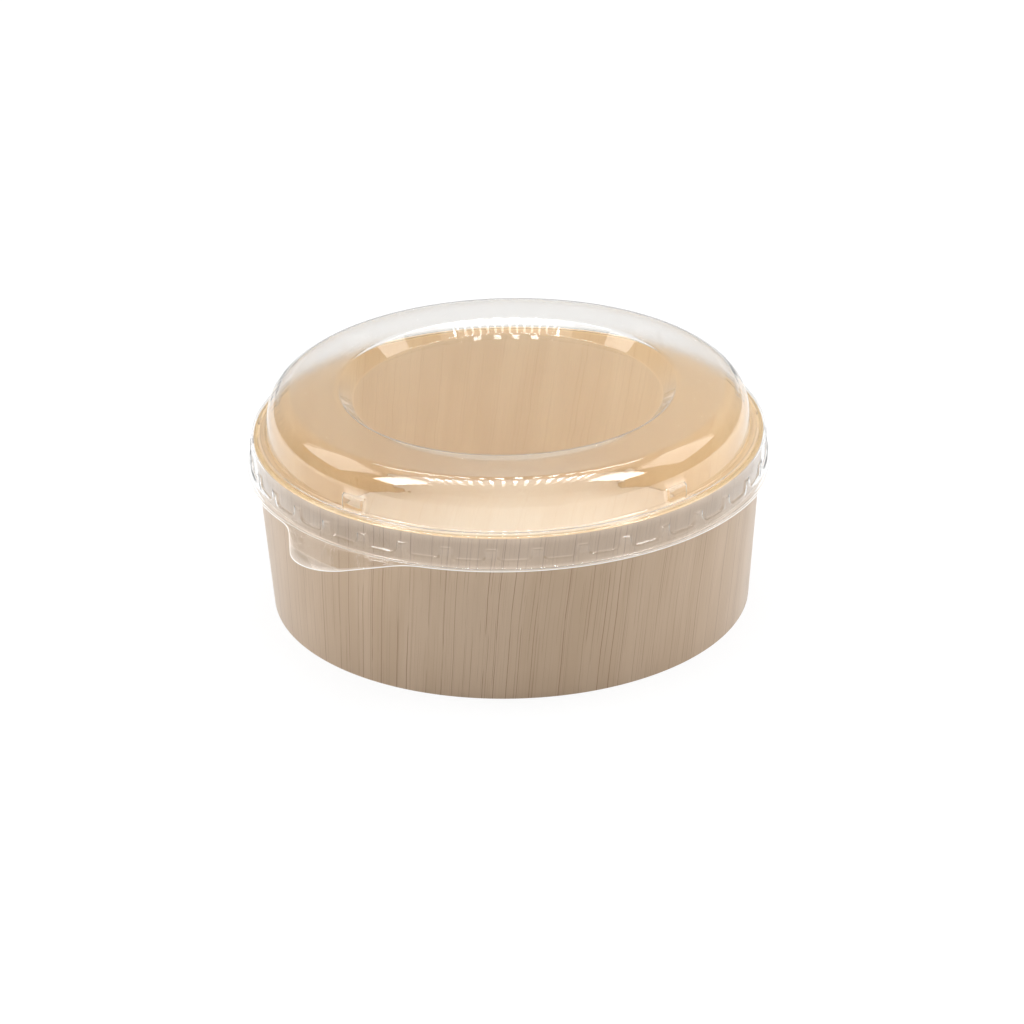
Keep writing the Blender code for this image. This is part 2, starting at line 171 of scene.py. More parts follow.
# The flange and the pull tab
FLANGE_TOP = FLANGE_BOTTOM + SOLID_FILM
EDGE_BOTTOM = FLANGE_TOP - FILM
EDGE_STRIP = 0.08 * MM            # width of the strip that shows the film's cut edge
EDGE_INSET = 1.05 * EDGE_STRIP    # where the clear film ends inside it
HEM_RADIUS = SKIRT_RADIUS + SKIRT_FLARE + SNAP_STEP
HEM_PROFILE = ((HEM_RADIUS, 38.9 * MM), (HEM_RADIUS + 0.03 * MM, FLANGE_TOP, 0.35 * MM, 4),
               (HEM_RADIUS + 0.5 * MM, FLANGE_TOP))
FLANGE_START = HEM_RADIUS + 0.45 * MM
FLANGE_SHARES = (0.0, 0.15, 0.3, 0.4, 0.5, 0.6, 0.7, 0.8, 0.9, 1.0)
TAB_ANGLE = LUG_ANGLES[1]
TAB_REACH = 80.2 * MM
TAB_NOSE = 11.6 * MM
TAB_SIDE = math.radians(48)
TAB_BLEND = 15.0 * MM
TAB_BEAD_RADIUS = 67.1 * MM
TAB_BEAD_HEIGHT = 0.1 * MM
TAB_BEAD_HALF_WIDTH = 0.2 * MM
TAB_SPREAD = math.radians(23)     # plan angle on both sides of the tab that has fine steps
TAB_STEP = math.radians(0.42)

# Colours of the woods: light, dark, pores
OUTER_WOOD = ((0.64, 0.485, 0.352), (0.57, 0.42, 0.29), (0.28, 0.14, 0.08))
INNER_WOOD = ((0.82, 0.635, 0.40), (0.76, 0.565, 0.335), (0.55, 0.33, 0.14))
FLOOR_WOOD = ((0.87, 0.765, 0.62), (0.84, 0.71, 0.55), (0.62, 0.42, 0.22))
# The cut board: light, dark, flecks
BOARD = ((0.75, 0.52, 0.24), (0.62, 0.40, 0.16), (0.33, 0.19, 0.07))

# Noise of the wood: size across and along the grain, step of the seed, detail, roughness
WANDER = (25.0 * MM, 40.0 * MM, 0.0, 1.0, 0.5)
WOBBLE = (4.0 * MM, 6.0 * MM, 5.0, 2.0, 0.5)
BANDS = (9.0 * MM, 60.0 * MM, 0.0, 3.0, 0.55)
FIBRES = (0.5 * MM, 12.0 * MM, 9.0, 3.0, 0.65)
SPECKS = (0.2 * MM, 0.45 * MM, 1.0, 2.0, 0.7)
WANDER_REACH = 1.6 * MM
WOBBLE_REACH = 0.2 * MM
# Pore lines: spacing, width, step of the seed, level of the noise from which they show, strength
PORES = ((3.4 * MM, 0.2 * MM, 0.0, 0.36, 1.0), (2.1 * MM, 0.17 * MM, 17.0, 0.42, 0.75),
         (0.9 * MM, 0.14 * MM, 31.0, 0.42, 0.35))
PORE_CORE = 0.2                   # from a line's middle, in widths: where it is full
PORE_EDGE = 0.62                  # and where it ends
PORE_PIECE = 28.0 * MM            # rough length of an unbroken piece of a line
PORE_BREAK = 0.12                 # change of the noise over which a line fades out
PORE_STRENGTHS = (0.0, 0.9, 0.3, 1.0)
PORE_DARKNESS = 0.75
PORE_DEPTH = -0.7                 # in the bump, against the fibres' height
FIBRE_HEIGHT = 0.35
WOOD_BUMP = (0.25, 0.04 * MM)     # strength and distance
BAND_RANGE = (0.32, 0.68)         # of the noise, from the light colour to the dark one
DETAIL_RANGE = (0.35, 0.75, 0.0, 0.3)   # of the fine noise, and how much of the dark colour it adds
WOOD_ROUGHNESS = (0.2, 0.8, 0.45, 0.58)
WOOD_SPECULAR = 0.3
SHEEN_ROUGHNESS = 0.4
BOARD_GRAIN = 0.5 * MM
BOARD_FLECKS = 0.18 * MM
BOARD_RANGE = (0.35, 0.65)
FLECK_RANGE = (0.52, 0.72, 0.0, 0.55)
BOARD_ROUGHNESS = (0.3, 0.7, 0.7, 0.9)
BOARD_BUMP = (0.6, 0.08 * MM)

# The film's looks
FILM_TINT = (0.985, 0.985, 0.98, 1.0)
FILM_INDEX = 1.57                 # refractive index
FILM_ROUGHNESS = 0.015
# Radii between which the flat top is slightly frosted and the shoulder is dented, with soft edges
FROSTED_RING = ((RECESS_RADIUS + 0.6 * MM, RECESS_RADIUS + 1.4 * MM),
                (TOP_EDGE_RADIUS - 1.9 * MM, TOP_EDGE_RADIUS - 1.1 * MM))
DENTED_RING = ((TOP_EDGE_RADIUS + 0.6 * MM, TOP_EDGE_RADIUS + 2.2 * MM),
               (DOME_BASE_RADIUS - 2.2 * MM, DOME_BASE_RADIUS - 1.0 * MM))
RING_ROUGHNESS = 0.105            # what the frosting adds
RING_GRAIN = 0.45 * MM
RING_GRAIN_HEIGHT = 0.02
WAVES = 11.0 * MM                 # the film's long waves, all over
WAVE_HEIGHT = 0.5
RIPPLES = 6.0 * MM                # the shoulder's small dents
RIPPLE_HEIGHT = 1.7
FILM_BUMP = (0.5, 0.08 * MM)
# Painted highlight: the film glows pale along its tight bends, by emission
PAINTED_CREASE_GLOW_COLOR = (1.0, 0.99, 0.97, 1.0)
PAINTED_CREASE_GLOW = 0.15                # painted glow: pale highlight lines painted along the film's tight bends, though no lamp is there
CREASE_BENDS = (0.7 / MM, 4.0 / MM)     # turn per length from which a bend gets the painted glow, and gets it fully
EDGE_COLOR = (0.92, 0.92, 0.91, 1.0)
# Painted highlight: the film's cut edge glows by emission, though no lamp is there
PAINTED_EDGE_GLOW_COLOR = (1.0, 1.0, 0.98, 1.0)
PAINTED_EDGE_GLOW = 0.2

# The world's strength: from and to a direction's part, then the strengths there
LIGHT_BY_Y = (-0.95, 0.0, 0.35, 1.4)    # as light: dim in front, bright behind
FILM_BY_SIDE = (0.5, 0.9, 0.5, 0.15)    # in the film, towards the sides
FILM_BY_Z = (0.5, 0.6, 0.93, 0.62)      # in the film, in front
FRONT_BY_Y = (-0.75, -0.6, 1.0, 0.0)    # where the front ends
WHITE = (1.0, 1.0, 1.0, 1.0)

# The floor
FLOOR_HALF_SIZE = 1.6
FLOOR_DROP = 0.02 * MM
FLOOR_COLOR = (0.97, 0.97, 0.97)
FLOOR_BOUNCE = (0.5, 0.5, 0.49)   # its colour as it lights the bowl
FLOOR_GLOW = 0.86                 # how far it is white whatever its shade
SHEET_HALF_WIDTH = 0.33           # half width of the white sheet that the film mirrors
SHEET_EDGE = 0.02
SHEET_DROP = 0.6                  # how much less the floor glows beside it, in the film

# Lamps
OVERHEAD = ((0.0, 0.05, 0.9), (0.0, 0.0, 0.03), (0.8, 0.6), 2.5)     # place, aim, size, power
LED_HEIGHT = 1.0
LED_WIDTH = 14 * MM
# Rows of lamps overhead: how far behind the bowl, half depth, half length, count, radiance
LED_ROWS = ((0.62, 0.10, 0.335, 18, 30.0), (0.0, 0.08, 0.345, 16, 30.0), (-0.17, 0.08, 0.37, 16, 7.0))
# Lamps on both sides: plan angle and rise in degrees, size, radiance, whether it lights the wood too
WINDOWS = (("window", 66.0, 50.0, (0.24, 0.50), 9.0, False),
           ("screen", 103.0, 40.0, (0.60, 0.60), 1.9, True))
WINDOW_DISTANCE = 1.2
WINDOW_AIM = (0.0, 0.0, 0.05)


# Small helpers

def plan_point(radius, angle, height):
    return Vector((radius * math.sin(angle), -radius * math.cos(angle), height))


def smooth_step(x):
    x = min(max(x, 0.0), 1.0)
    return x * x * (3.0 - 2.0 * x)


def turn_between(a, b):
    """Signed angle from b to a, between -pi and pi."""
    return (a - b + math.pi) % FULL_TURN - math.pi


def past_rounded_corner(across, down, radius):
    """Distance past the edge of a corner region, from distances past the start of its rounding."""
    if across > 0.0 and down > 0.0:
        return math.hypot(across, down) - radius
    return max(across, down) - radius


def rounded(corners):
    """Points of a profile from corners (radius, height), or (radius, height, fillet, steps)."""
    points = []
    for index, (radius, height, *rounding) in enumerate(corners):
        here = Vector((radius, height))
        if not rounding:
            points.append(here)
            continue
        fillet, steps = rounding
        back = (Vector(corners[index - 1][:2]) - here).normalized()
        ahead = (Vector(corners[index + 1][:2]) - here).normalized()
        half = back.angle(ahead) / 2.0
        start = here + back * (fillet / math.tan(half))
        centre = here + (back + ahead).normalized() * (fillet / math.sin(half))
        sweep = math.pi - 2.0 * half
        if back.x * ahead.y - back.y * ahead.x > 0.0:
            sweep = -sweep
        for step in range(steps + 1):
            points.append(centre + Matrix.Rotation(sweep * step / steps, 2) @ (start - centre))
    return points


def arc_points(centre, radius, start, end, steps):
    turns = [start + (end - start) * step / steps for step in range(steps + 1)]
    return [centre + radius * Vector((math.cos(turn), math.sin(turn))) for turn in turns]


def resampled(points, count):
    """The same polyline with count points at even distances."""
    lengths = [0.0]
    for a, b in zip(points, points[1:]):
        lengths.append(lengths[-1] + (b - a).length)
    result = []
    index = 0
    for step in range(count):
        target = lengths[-1] * step / (count - 1)
        while index < len(points) - 2 and lengths[index + 1] < target:
            index += 1
        span = lengths[index + 1] - lengths[index]
        share = (target - lengths[index]) / span if span > 0.0 else 0.0
        result.append(points[index].lerp(points[index + 1], min(max(share, 0.0), 1.0)))
    return result


def finish_mesh(name, bm, material, sharp=math.radians(35), second=None):
    mesh = bpy.data.meshes.new(name)
    bm.to_mesh(mesh)
    bm.free()
    mesh.materials.append(material)
    if second:
        mesh.materials.append(second)
    mesh.shade_smooth()
    mesh.set_sharp_from_angle(angle=sharp)
    obj = bpy.data.objects.new(name, mesh)
    bpy.context.scene.collection.objects.link(obj)
    return obj


# Node helpers

class Nodes:
    """A node tree, with short calls for its nodes."""

    def __init__(self, tree):
        self.tree = tree

    def add(self, kind, **settings):
        node = self.tree.nodes.new(kind)
        for key, value in settings.items():
            setattr(node, key, value)
        return node

    def put(self, value, socket):
        if isinstance(value, bpy.types.NodeSocket):
            self.tree.links.new(value, socket)
        else:
            socket.default_value = value

    def fill(self, node, values):
        """The node's first inputs, in order; gives its first output."""
        for value, socket in zip(values, node.inputs):
            self.put(value, socket)
        return node.outputs[0]

    def math(self, operation, a, b=0.0, c=0.0, clamp=False):
        return self.fill(self.add("ShaderNodeMath", operation=operation, use_clamp=clamp), (a, b, c))

    def ramp(self, value, low, high, out_low=0.0, out_high=1.0):
        """Smooth change from out_low to out_high as value goes from low to high."""
        node = self.add("ShaderNodeMapRange", interpolation_type="SMOOTHSTEP")
        return self.fill(node, (value, low, high, out_low, out_high))

    def mix(self, share, a, b):
        node = self.add("ShaderNodeMix", data_type="RGBA")
        self.put(share, node.inputs[0])
        for value, socket in ((a, node.inputs[6]), (b, node.inputs[7])):
            self.put((*value, 1.0) if isinstance(value, tuple) else value, socket)
        return node.outputs[2]

    def mix_shaders(self, share, a, b):
        return self.fill(self.add("ShaderNodeMixShader"), (share, a, b))

    def split(self, vector):
        node = self.add("ShaderNodeSeparateXYZ")
        self.put(vector, node.inputs[0])
        return node.outputs

    def place(self, kind="Object"):
        return self.add("ShaderNodeTexCoord").outputs[kind]

    def rays(self):
        return self.add("ShaderNodeLightPath").outputs

    def noise(self, vector, scale=1.0, detail=2.0, roughness=0.5):
        node = self.add("ShaderNodeTexNoise")
        self.put(vector, node.inputs["Vector"])
        node.inputs["Scale"].default_value = scale
        node.inputs["Detail"].default_value = detail
        node.inputs["Roughness"].default_value = roughness
        return node.outputs["Fac"]

    def grain_noise(self, across, along, kind, seed):
        """Noise that is stretched along the grain, by one of the kinds above."""
        width, length, step, detail, roughness = kind
        stretched = self.fill(self.add("ShaderNodeCombineXYZ"),
                              (self.math("MULTIPLY", across, 1.0 / width),
                               self.math("MULTIPLY", along, 1.0 / length), seed + step))
        return self.noise(stretched, 1.0, detail, roughness)


class MaterialNodes(Nodes):
    """A new material's nodes, with its Principled shader."""

    def __init__(self, name):
        self.material = bpy.data.materials.new(name)
        self.material.use_nodes = True
        super().__init__(self.material.node_tree)
        self.shader = self.tree.nodes["Principled BSDF"]
        self.output = self.tree.nodes["Material Output"].inputs[0]

    def set(self, **values):
        for key, value in values.items():
            self.put(value, self.shader.inputs[key.replace("_", " ")])

    def bump(self, height, strength, distance):
        node = self.add("ShaderNodeBump")
        node.inputs["Strength"].default_value = strength
        node.inputs["Distance"].default_value = distance
        self.put(height, node.inputs["Height"])
        self.set(Normal=node.outputs["Normal"])


# Materials

def pore_lines(nodes, across, along, spacing, width, seed, level):
    """Long broken pore lines that run along the grain: up to 1 on a line, 0 off it."""
    cells = nodes.add("ShaderNodeTexVoronoi", voronoi_dimensions="1D", feature="F1")
    nodes.put(nodes.math("MULTIPLY_ADD", across, 1.0 / spacing, seed), cells.inputs["W"])
    cells.inputs["Scale"].default_value = 1.0
    cells.inputs["Randomness"].default_value = 1.0
    core, edge = [share * width / spacing for share in (PORE_CORE, PORE_EDGE)]
    line = nodes.ramp(cells.outputs["Distance"], core, edge, 1.0, 0.0)
    strength = nodes.add("ShaderNodeSeparateColor")
    nodes.put(cells.outputs["Color"], strength.inputs[0])
    pieces = nodes.grain_noise(across, along, (spacing, PORE_PIECE, 0.0, 3.0, 0.6), seed)
    broken = nodes.ramp(pieces, level, level + PORE_BREAK)
    some = nodes.ramp(strength.outputs[0], *PORE_STRENGTHS)
    return nodes.math("MULTIPLY", nodes.math("MULTIPLY", line, broken), some)


def wood(name, colors, lean=0.1, line_share=1.0, seed=3.0, sheen=0.0):
    """Rotary-cut veneer: soft bands, fine fibres and thin broken pore lines along the grain."""
    light, dark, pore = colors
    nodes = MaterialNodes(name)
    flat, along, _ = nodes.split(nodes.add("ShaderNodeUVMap", uv_map="grain").outputs[0])
    across = nodes.math("MULTIPLY_ADD", along, -lean, flat)
    for kind, reach in ((WANDER, WANDER_REACH), (WOBBLE, WOBBLE_REACH)):
        across = nodes.math("MULTIPLY_ADD", nodes.grain_noise(flat, along, kind, seed), reach, across)

    band, fibre, speck = [nodes.grain_noise(across, along, kind, seed) for kind in (BANDS, FIBRES, SPECKS)]
    base = nodes.mix(nodes.ramp(band, *BAND_RANGE), light, dark)
    for detail in (fibre, speck):
        base = nodes.mix(nodes.ramp(detail, *DETAIL_RANGE), base, dark)
    lines = 0.0
    for spacing, width, step, level, strength in PORES:
        found = pore_lines(nodes, across, along, spacing, width, seed + step, level)
        lines = nodes.math("MAXIMUM", lines, nodes.math("MULTIPLY", found, strength))
    share = nodes.math("MULTIPLY", lines, PORE_DARKNESS * line_share, clamp=True)
    nodes.set(Base_Color=nodes.mix(share, base, pore), Roughness=nodes.ramp(fibre, *WOOD_ROUGHNESS),
              Specular_IOR_Level=WOOD_SPECULAR, Sheen_Weight=sheen, Sheen_Roughness=SHEEN_ROUGHNESS)
    height = nodes.math("MULTIPLY_ADD", lines, PORE_DEPTH, nodes.math("MULTIPLY", fibre, FIBRE_HEIGHT))
    nodes.bump(height, *WOOD_BUMP)
    return nodes.material


def cut_edge(name, colors):
    """Golden board of short fibres, as the cut rim shows it."""
    light, dark, fleck = colors
    nodes = MaterialNodes(name)
    place = nodes.place()
    grain = nodes.noise(place, 1.0 / BOARD_GRAIN, 3.0, 0.65)
    flecks = nodes.noise(place, 1.0 / BOARD_FLECKS, 2.0, 0.7)
    color = nodes.mix(nodes.ramp(grain, *BOARD_RANGE), light, dark)
    color = nodes.mix(nodes.ramp(flecks, *FLECK_RANGE), color, fleck)
    nodes.set(Base_Color=color, Roughness=nodes.ramp(grain, *BOARD_ROUGHNESS))
    nodes.bump(nodes.math("ADD", grain, flecks), *BOARD_BUMP)
    return nodes.material


def between(nodes, value, rise, fall):
    """1 between two soft edges, each given by where it starts and ends."""
    return nodes.math("MULTIPLY", nodes.ramp(value, *rise), nodes.ramp(value, *fall, 1.0, 0.0))


def clear_film():
    """Clear thermoformed film, which lets the lamps light what it covers."""
    nodes = MaterialNodes("clear_film")
    place = nodes.place()
    x, y, _ = nodes.split(place)
    radius = nodes.math("SQRT", nodes.math("ADD", nodes.math("POWER", x, 2.0), nodes.math("POWER", y, 2.0)))
    ring = between(nodes, radius, *FROSTED_RING)
    shoulder = between(nodes, radius, *DENTED_RING)
    grain = nodes.math("MULTIPLY", nodes.noise(place, 1.0 / RING_GRAIN, 2.0, 0.6), ring)
    waves = nodes.noise(place, 1.0 / WAVES, 1.0, 0.5)
    ripples = nodes.math("MULTIPLY", nodes.noise(place, 1.0 / RIPPLES, 2.0, 0.6), shoulder)
    height = nodes.math("MULTIPLY_ADD", waves, WAVE_HEIGHT, nodes.math("MULTIPLY", ripples, RIPPLE_HEIGHT))
    height = nodes.math("MULTIPLY_ADD", grain, RING_GRAIN_HEIGHT, height)
    outward = nodes.add("ShaderNodeAttribute", attribute_name="outward").outputs["Fac"]
    nodes.bump(nodes.math("MULTIPLY", height, outward), *FILM_BUMP)
    # Painted highlight: the emission below makes the film's tight bends glow as pale lines
    crease = nodes.add("ShaderNodeAttribute", attribute_name="crease").outputs["Fac"]
    nodes.set(Base_Color=FILM_TINT, Transmission_Weight=1.0, IOR=FILM_INDEX,
              Roughness=nodes.math("MULTIPLY_ADD", ring, RING_ROUGHNESS, FILM_ROUGHNESS),
              Emission_Color=PAINTED_CREASE_GLOW_COLOR, Emission_Strength=nodes.math("MULTIPLY", crease, PAINTED_CREASE_GLOW))
    let_light = nodes.add("ShaderNodeBsdfTransparent")
    let_light.inputs[0].default_value = FILM_TINT
    film = nodes.mix_shaders(nodes.rays()["Is Shadow Ray"], nodes.shader.outputs[0], let_light.outputs[0])
    nodes.put(film, nodes.output)
    return nodes.material


# The bowl

def wall_radius(height, depth=0.0):
    return RIM_RADIUS - FLARE * (1.0 - height / WALL_HEIGHT) - depth


def add_grain_map(bm, place):
    """UV map in metres: across the grain, along the grain."""
    layer = bm.loops.layers.uv.new("grain")
    for face in bm.faces:
        for loop in face.loops:
            loop[layer].uv = place[loop.vert]


def join_rings(bm, a, b):
    """Faces between two rings of equal count, or between a ring and a single point."""
    for i in range(max(len(a), len(b))):
        if len(a) == 1:
            bm.faces.new((a[0], b[i], b[(i + 1) % len(b)]))
        elif len(b) == 1:
            bm.faces.new((a[i], b[0], a[(i + 1) % len(a)]))
        else:
            j = (i + 1) % len(a)
            bm.faces.new((a[i], b[i], b[j], a[j]))


def hoop(name, node, depth, thickness, seam_angle, material, cut):
    """One ply of the wall, bent round to a butt seam, with slightly rounded cut edges."""
    e = EDGE_ROUND
    top = WALL_HEIGHT
    low, high = [top * share for share in HOOP_LEVELS]
    loop = [(e, top), (0.0, top - e), (0.0, high), (0.0, low), (0.0, e), (e, 0.0),
            (thickness - e, 0.0), (thickness, e), (thickness, low), (thickness, high),
            (thickness, top - e), (thickness - e, top)]
    profile = [(wall_radius(height, depth + inward), height) for inward, height in loop]
    lengths = [0.0]
    for (r0, z0), (r1, z1) in zip(profile, profile[1:]):
        lengths.append(lengths[-1] + math.hypot(r1 - r0, z1 - z0))
    bm = bmesh.new()
    place = {}
    gap = SEAM_GAP / RIM_RADIUS
    rings = []
    for step in range(HOOP_STEPS + 1):
        angle = seam_angle + gap / 2.0 + (FULL_TURN - gap) * step / HOOP_STEPS
        ring = []
        for (radius, height), length in zip(profile, lengths):
            vert = bm.verts.new(plan_point(radius, angle, height))
            place[vert] = ((angle - seam_angle) * RIM_RADIUS, -length)
            ring.append(vert)
        rings.append(ring)
    for a, b in zip(rings, rings[1:]):
        for i in range(len(profile)):
            j = (i + 1) % len(profile)
            face = bm.faces.new((a[i], a[j], b[j], b[i]))
            if i in CUT_STRIPS:
                face.material_index = 1
    bm.faces.new(list(reversed(rings[0])))
    bm.faces.new(rings[-1])
    add_grain_map(bm, place)
    obj = finish_mesh(name, bm, material, second=cut)
    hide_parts(node)
    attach(obj, "bowl")


def disc(name, node, corners, material, turn):
    """A turned piece of the base, mapped flat so that its grain runs across the bowl."""
    bm = bmesh.new()
    place = {}
    rings = []
    for point in rounded(corners):
        ring = []
        for step in range(1 if point.x <= 0.0 else HOOP_STEPS):
            vert = bm.verts.new(plan_point(point.x, FULL_TURN * step / HOOP_STEPS, point.y))
            flat = Matrix.Rotation(turn, 2) @ Vector((vert.co.x, vert.co.y))
            place[vert] = (flat.x, flat.y - point.y)
            ring.append(vert)
        rings.append(ring)
    for a, b in zip(rings, rings[1:]):
        join_rings(bm, a, b)
    add_grain_map(bm, place)
    obj = finish_mesh(name, bm, material)
    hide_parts(node)
    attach(obj, "bowl")


def build_bowl():
    outer = wood("outer_veneer", OUTER_WOOD, sheen=0.5)
    inner = wood("inner_veneer", INNER_WOOD, lean=0.17, line_share=0.5, seed=41.0)
    floor = wood("floor_veneer", FLOOR_WOOD, lean=0.0, line_share=0.3, seed=71.0)
    under = wood("under_veneer", OUTER_WOOD, seed=13.0)
    board = cut_edge("core_board", BOARD)
    depth = 0.0
    plies = (("outer_veneer_hoop", "wall_outer_veneer", OUTER_VENEER, outer),
             ("core_board_hoop", "wall_core_board", CORE_BOARD, board),
             ("inner_veneer_hoop", "wall_inner_veneer", INNER_VENEER, inner))
    for index, (name, node, thickness, material) in enumerate(plies):
        hoop(name, node, depth, thickness, SEAM_ANGLE + index * SEAM_STAGGER, material, board)
        depth += thickness + GLUE_LINE
    inside = depth - GLUE_LINE
    veneer_low = FLOOR_TOP - BASE_VENEER
    edge = wall_radius(veneer_low, inside) - BASE_CLEARANCE
    disc("floor_veneer_disc", "base_top_veneer",
         [(0.0, FLOOR_TOP), (edge / 2.0, FLOOR_TOP), (edge, FLOOR_TOP, EDGE_ROUND, 2),
          (edge, veneer_low, EDGE_ROUND, 2), (0.0, veneer_low)], floor, BASE_GRAIN_TURN)
    top = veneer_low - GLUE_LINE
    side = wall_radius(top - BASE_CORNER, depth)
    foot = wall_radius(0.0, depth)
    disc("base_board_tray", "base_board",
         [(0.0, top), (side, top, BASE_FILLET, 5), (foot, 0.0, EDGE_ROUND, 2),
          (foot - BASE_BOARD, 0.0, EDGE_ROUND, 2), (side - BASE_BOARD, top - BASE_BOARD, EDGE_ROUND, 2),
          (0.0, top - BASE_BOARD)], board, 0.0)
    under_top = top - BASE_BOARD - GLUE_LINE
    under_low = under_top - BASE_VENEER
    edge = wall_radius(under_low, depth + BASE_BOARD) - BASE_CLEARANCE
    disc("under_veneer_disc", "base_under_veneer",
         [(0.0, under_top), (edge, under_top, EDGE_ROUND, 2), (edge, under_low, EDGE_ROUND, 2),
          (0.0, under_low)], under, BASE_GRAIN_TURN)


# The lid's profiles

def dome_rows():
    """Profile of the sunk panel, the recess, the flat top and the shoulder, from the centre out."""
    edge_height = TOP_HEIGHT - TOP_EDGE_DROP
    shoulder = Vector((TOP_EDGE_RADIUS - SHOULDER_RADIUS * math.cos(SHOULDER_START),
                       edge_height - SHOULDER_RADIUS * math.sin(SHOULDER_START)))
    rise = TOP_HEIGHT - EDGE_BLEND - shoulder.y
    apart = SHOULDER_RADIUS - EDGE_BLEND
    blend = Vector((shoulder.x + math.sqrt(apart ** 2 - rise ** 2), shoulder.y + rise))
    meet = math.asin(rise / apart)
    points = rounded([(0.0, PANEL_HEIGHT), (PANEL_RADIUS * 0.5, PANEL_HEIGHT),
                      (PANEL_RADIUS - PANEL_MARGIN, PANEL_HEIGHT),
                      (PANEL_RADIUS, PANEL_HEIGHT, PANEL_FILLET, 5),
                      (RECESS_RADIUS, TOP_HEIGHT, RECESS_FILLET, 8),
                      (RECESS_RADIUS + RECESS_MARGIN, TOP_HEIGHT),
                      (RECESS_RADIUS + TOP_RING_MIDDLE, TOP_HEIGHT)])
    points += arc_points(blend, EDGE_BLEND, math.pi / 2.0, meet, 8)
    points += arc_points(shoulder, SHOULDER_RADIUS, meet, SHOULDER_END, 12)[1:]
    return points


def side_at(start, height):
    """Point of the straight dome side at a height, between the shoulder's end and the dome's foot."""
    share = (start.y - height) / (start.y - LEDGE_HEIGHT)
    return Vector((start.x + (DOME_BASE_RADIUS - start.x) * share, height))


def bead_rows():
    """The small bead on the ledge, as a cosine bump."""
    points = []
    for step in range(BEAD_STEPS + 1):
        share = step / BEAD_STEPS
        radius = DOME_BASE_RADIUS + BEAD_INSET + (2.0 * share - 1.0) * BEAD_HALF_WIDTH
        rise = BEAD_HEIGHT * 0.5 * (1.0 - math.cos(FULL_TURN * share))
        points.append(Vector((radius, LEDGE_HEIGHT + rise)))
    return points


def side_rows(start):
    """Two curves of LUG_ROWS points from LUG_TOP down to the ledge: plain, and over a stacking lug."""
    high = side_at(start, LUG_TOP)
    foot = rounded([(high.x, high.y), (DOME_BASE_RADIUS, LEDGE_HEIGHT, FOOT_FILLET, 6),
                    (BEAD_START, LEDGE_HEIGHT)])
    plain = foot + bead_rows() + [Vector((LEDGE_END, LEDGE_HEIGHT))]
    front = DOME_BASE_RADIUS + LUG_REACH
    lug = rounded([(high.x, high.y), (front, LUG_TOP, LUG_EDGE, 5),
                   (front - LUG_SLOPE, LEDGE_HEIGHT, LUG_FOOT_FILLET, 3), (LEDGE_END, LEDGE_HEIGHT)])
    return resampled(plain, LUG_ROWS), resampled(lug, LUG_ROWS)


def lug_share(angle, height):
    """1 on a stacking lug's face, 0 off it, with rounded lower corners."""
    share = 0.0
    for middle in LUG_ANGLES:
        across = abs(turn_between(angle, middle)) * DOME_BASE_RADIUS - (LUG_HALF_WIDTH - LUG_CORNER)
        distance = past_rounded_corner(across, LUG_BOTTOM + LUG_CORNER - height, LUG_CORNER)
        share = max(share, 1.0 - smooth_step(distance / LUG_FLANK + 0.5))
    return share


def skirt_rows():
    """Profile from the ledge over its corner and down the skirt, at the snap lugs' radius."""
    corner = rounded([(LEDGE_END, LEDGE_HEIGHT), (SKIRT_RADIUS, LEDGE_HEIGHT, LEDGE_FILLET, 5), SKIRT_KNEE])
    return corner[1:] + [Vector((SKIRT_RADIUS + SKIRT_FLARE, height * MM)) for height in SKIRT_HEIGHTS]


def snap_step(angle, height):
    """How far the skirt stands out from the snap lugs here: not on a lug, fully beside and below it."""
    arc = abs(turn_between(angle, SNAP_FIRST) % SNAP_PITCH)
    arc = min(arc, SNAP_PITCH - arc) * SKIRT_RADIUS
    across = arc - (SNAP_SHARE * SNAP_PITCH * SKIRT_RADIUS / 2.0 - SNAP_CORNER)
    distance = past_rounded_corner(across, SNAP_BOTTOM + SNAP_CORNER - height, SNAP_CORNER)
    return SNAP_STEP * smooth_step(min(distance, SNAP_TOP - height) / SNAP_FLANK)


def tab_radius(angle):
    """Outer edge of the flange, which runs out into the pull tab: nose, straight side, blend, flange."""
    turn = abs(turn_between(angle, TAB_ANGLE))
    nose = TAB_REACH - TAB_NOSE
    outward = Vector((math.cos(TAB_SIDE), math.sin(TAB_SIDE)))
    along = Vector((outward.y, -outward.x))
    side = nose * outward.x + TAB_NOSE
    reach = math.sqrt((FLANGE_RADIUS + TAB_BLEND) ** 2 - (side + TAB_BLEND) ** 2)
    blend = outward * (side + TAB_BLEND) + along * reach
    side_end = outward * side + along * reach
    nose_end = Vector((nose, 0.0)) + outward * TAB_NOSE
    if turn < math.atan2(nose_end.y, nose_end.x):
        return nose * math.cos(turn) + math.sqrt(TAB_NOSE ** 2 - (nose * math.sin(turn)) ** 2)
    if turn < math.atan2(side_end.y, side_end.x):
        return side / math.cos(turn - TAB_SIDE)
    past = turn - math.atan2(blend.y, blend.x)
    if past < 0.0:
        far = blend.length
        return far * math.cos(past) - math.sqrt(TAB_BLEND ** 2 - (far * math.sin(past)) ** 2)
    return FLANGE_RADIUS


def flange_point(angle, share_out):
    """Point of the flat flange from its inner edge, 0, to its outer edge, 1."""
    bead = TAB_BEAD_RADIUS + TAB_BEAD_HALF_WIDTH
    if share_out <= 0.5:
        radius = FLANGE_START + (bead - FLANGE_START) * share_out * 2.0
    else:
        radius = bead + (tab_radius(angle) - EDGE_INSET - bead) * (share_out * 2.0 - 1.0)
    ridge = max(0.0, 1.0 - abs(radius - TAB_BEAD_RADIUS) / TAB_BEAD_HALF_WIDTH)
    return radius, FLANGE_TOP + TAB_BEAD_HEIGHT * smooth_step(ridge)


# The lid's plan angles

def even_angles():
    return [FULL_TURN * step / COARSE_STEPS for step in range(COARSE_STEPS)]


